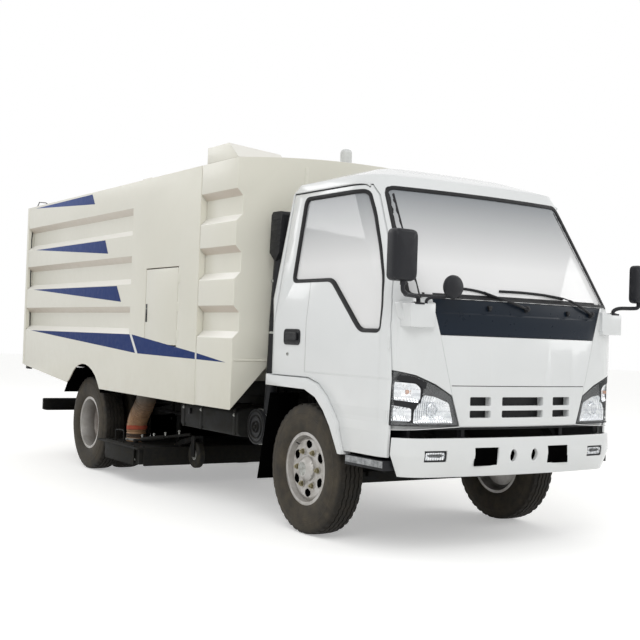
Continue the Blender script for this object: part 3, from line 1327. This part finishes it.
# A padded block's rings: its section swept across, crowned, sewn twice and pulled in at the ends.
def cushion(span, section):
    fit = seatFit
    spaced = evenly(roundCorners(section, fit["corner"], 7), fit["around"])
    middle = sum(spaced, Vector((0, 0))) / len(spaced)
    rings = []
    for column in range(fit["columns"] + 1):
        share = column / fit["columns"] * 2 - 1
        x = (span[0] + span[1]) / 2 + (span[1] - span[0]) / 2 * share
        pull = 1 - fit["pull"] * abs(share) ** 8
        pull *= 1 - fit["seam"] * math.exp(-((abs(share) - fit["seamAt"]) / 0.05) ** 2)
        ring = []
        for p in spaced:
            out = p - middle
            grow = fit["crown"] * (1 - share * share) * (0.5 + 0.5 * math.cos(out.length * 0.004))
            q = middle + out * pull + out.normalized() * grow
            ring.append(at(x, q.x, q.y))
        rings.append(ring)
    return rings


def seatPads():
    first = True
    for name, span in seatFit["spans"].items():
        low = 1000 if name == "middle" else 965
        sections = {
            "base": [(-285, low), (222, low), (222, 1070), (150, 1082), (-250, 1094), (-285, 1075)],
            "back": [(116, 1104), (222, 1104), (262, 1400), (290, 1668), (214, 1688), (160, 1400)],
        }
        for part, section in sections.items():
            pad = Piece("seat.{}.{}".format(name, part), "cab", ("seats",) if first else (), "seat_fabric")
            first = False
            pad.loft(cushion(span, section), "seat_fabric")
            pad.done(60)
    base = Piece("seatBases", "cab", (), "trim_black")
    for name in ("driver", "passenger"):
        left, right = seatFit["spans"][name]
        base.box(at(left + 20, -250, 952), at(right - 20, 200, 966), "trim_black", 0.004)
        base.cylinder(at(right - 30, 225, 1108), at(right + 2, 225, 1108), 0.018, "trim_black", 24, 0.003)
    base.done()


seatPads()

dash = eased("dashboard", 0.012, 4, name="dashboard")
dash.box(at(300, -640, 1290), at(600, -560, 1296), "trim_black", 0.003)
for x in (380, 450, 520):
    dash.cylinder(at(x, -534, 1230), at(x, -529, 1232), 0.028, "trim_black", 32, 0.002)
for x in (-60, 60):
    dash.box(at(x - 44, -534, 1200), at(x + 44, -528, 1250), "trim_black", 0.004, 3)
dash.done(40)
print("inside")

cameraFit = {"lens": 61.79, "sensor": 36, "yaw": 33.004, "pitch": 0.905, "roll": 1.956,
             "place": (-4.3386, -7.3970, 1.1695), "far": 200}
# Each soft light's place, the point it faces, its size and its power.
softLights = {
    "keyLight": ((-6, -9, 8), (0, -1, 1), (6, 6), 430),
    "fillLight": ((8, -6, 5), (0, -1, 1), (5, 5), 160),
    "backLight": ((-5, 9, 7), (0, 1, 1), (6, 6), 220),
}
studio = {"dim": 0.62, "glow": 0.35, "floor": 40}


def makeCamera():
    data = bpy.data.cameras.new("camera")
    data.lens, data.sensor_width, data.clip_end = cameraFit["lens"], cameraFit["sensor"], cameraFit["far"]
    yaw, pitch, roll = (math.radians(cameraFit[key]) for key in ("yaw", "pitch", "roll"))
    look = Vector((math.sin(yaw) * math.cos(pitch), math.cos(yaw) * math.cos(pitch), math.sin(pitch)))
    level = Vector((math.cos(yaw), -math.sin(yaw), 0))
    up = level.cross(look)
    right = level * math.cos(roll) + up * math.sin(roll)
    above = up * math.cos(roll) - level * math.sin(roll)
    turn = Matrix((right, above, -look)).transposed().to_4x4()
    camera = bpy.data.objects.new("camera", data)
    camera.matrix_world = Matrix.Translation(cameraFit["place"]) @ turn
    bpy.context.scene.collection.objects.link(camera)
    bpy.context.scene.camera = camera


def softBox(name, place, target, size, power):
    data = bpy.data.lights.new(name, "AREA")
    data.shape, data.size, data.size_y, data.energy = "RECTANGLE", size[0], size[1], power
    lamp = bpy.data.objects.new(name, data)
    lamp.location = place
    lamp.rotation_euler = (Vector(target) - Vector(place)).to_track_quat("-Z", "Y").to_euler()
    bpy.context.scene.collection.objects.link(lamp)


# 1 for the rays that the viewer sees by, 0 for light bounced between surfaces.
def seenDirectly(nodes):
    rays = nodes.node("ShaderNodeLightPath").outputs
    seen, gloss, through = (Value(nodes, rays["Is {} Ray".format(k)]) for k in ("Camera", "Glossy", "Transmission"))
    return seen.atLeast(gloss).atLeast(through)


def makeWorld():
    world = bpy.data.worlds.new("studio")
    bpy.context.scene.world = world
    world.use_nodes = True
    nodes = Nodes(world.node_tree)
    sky = world.node_tree.nodes["Background"]
    nodes.feed(sky.inputs["Color"], (1, 1, 1, 1))
    nodes.feed(sky.inputs["Strength"], seenDirectly(nodes).map(0, 1, studio["dim"], 1.0))


def makeFloor():
    part = bmesh.new()
    bmesh.ops.create_grid(part, x_segments=1, y_segments=1, size=studio["floor"])
    data = bpy.data.meshes.new("floor")
    part.to_mesh(data)
    part.free()
    s = Shader("floorWhite", "#F2F2F0", 0.8)
    s.put("Base Color", s.mix(s.noise(0.8, 3) * 0.2, "#F4F4F2", "#EFEEEC"))
    s.put("Emission Color", (1, 1, 1, 1))
    s.put("Emission Strength", seenDirectly(s) * studio["glow"])
    data.materials.append(s.material)
    floor = bpy.data.objects.new("floor", data)
    bpy.context.scene.collection.objects.link(floor)


makeCamera()
makeWorld()
makeFloor()
for name, (place, target, size, power) in softLights.items():
    softBox(name, place, target, size, power)
bpy.context.scene.view_settings.view_transform = "Standard"
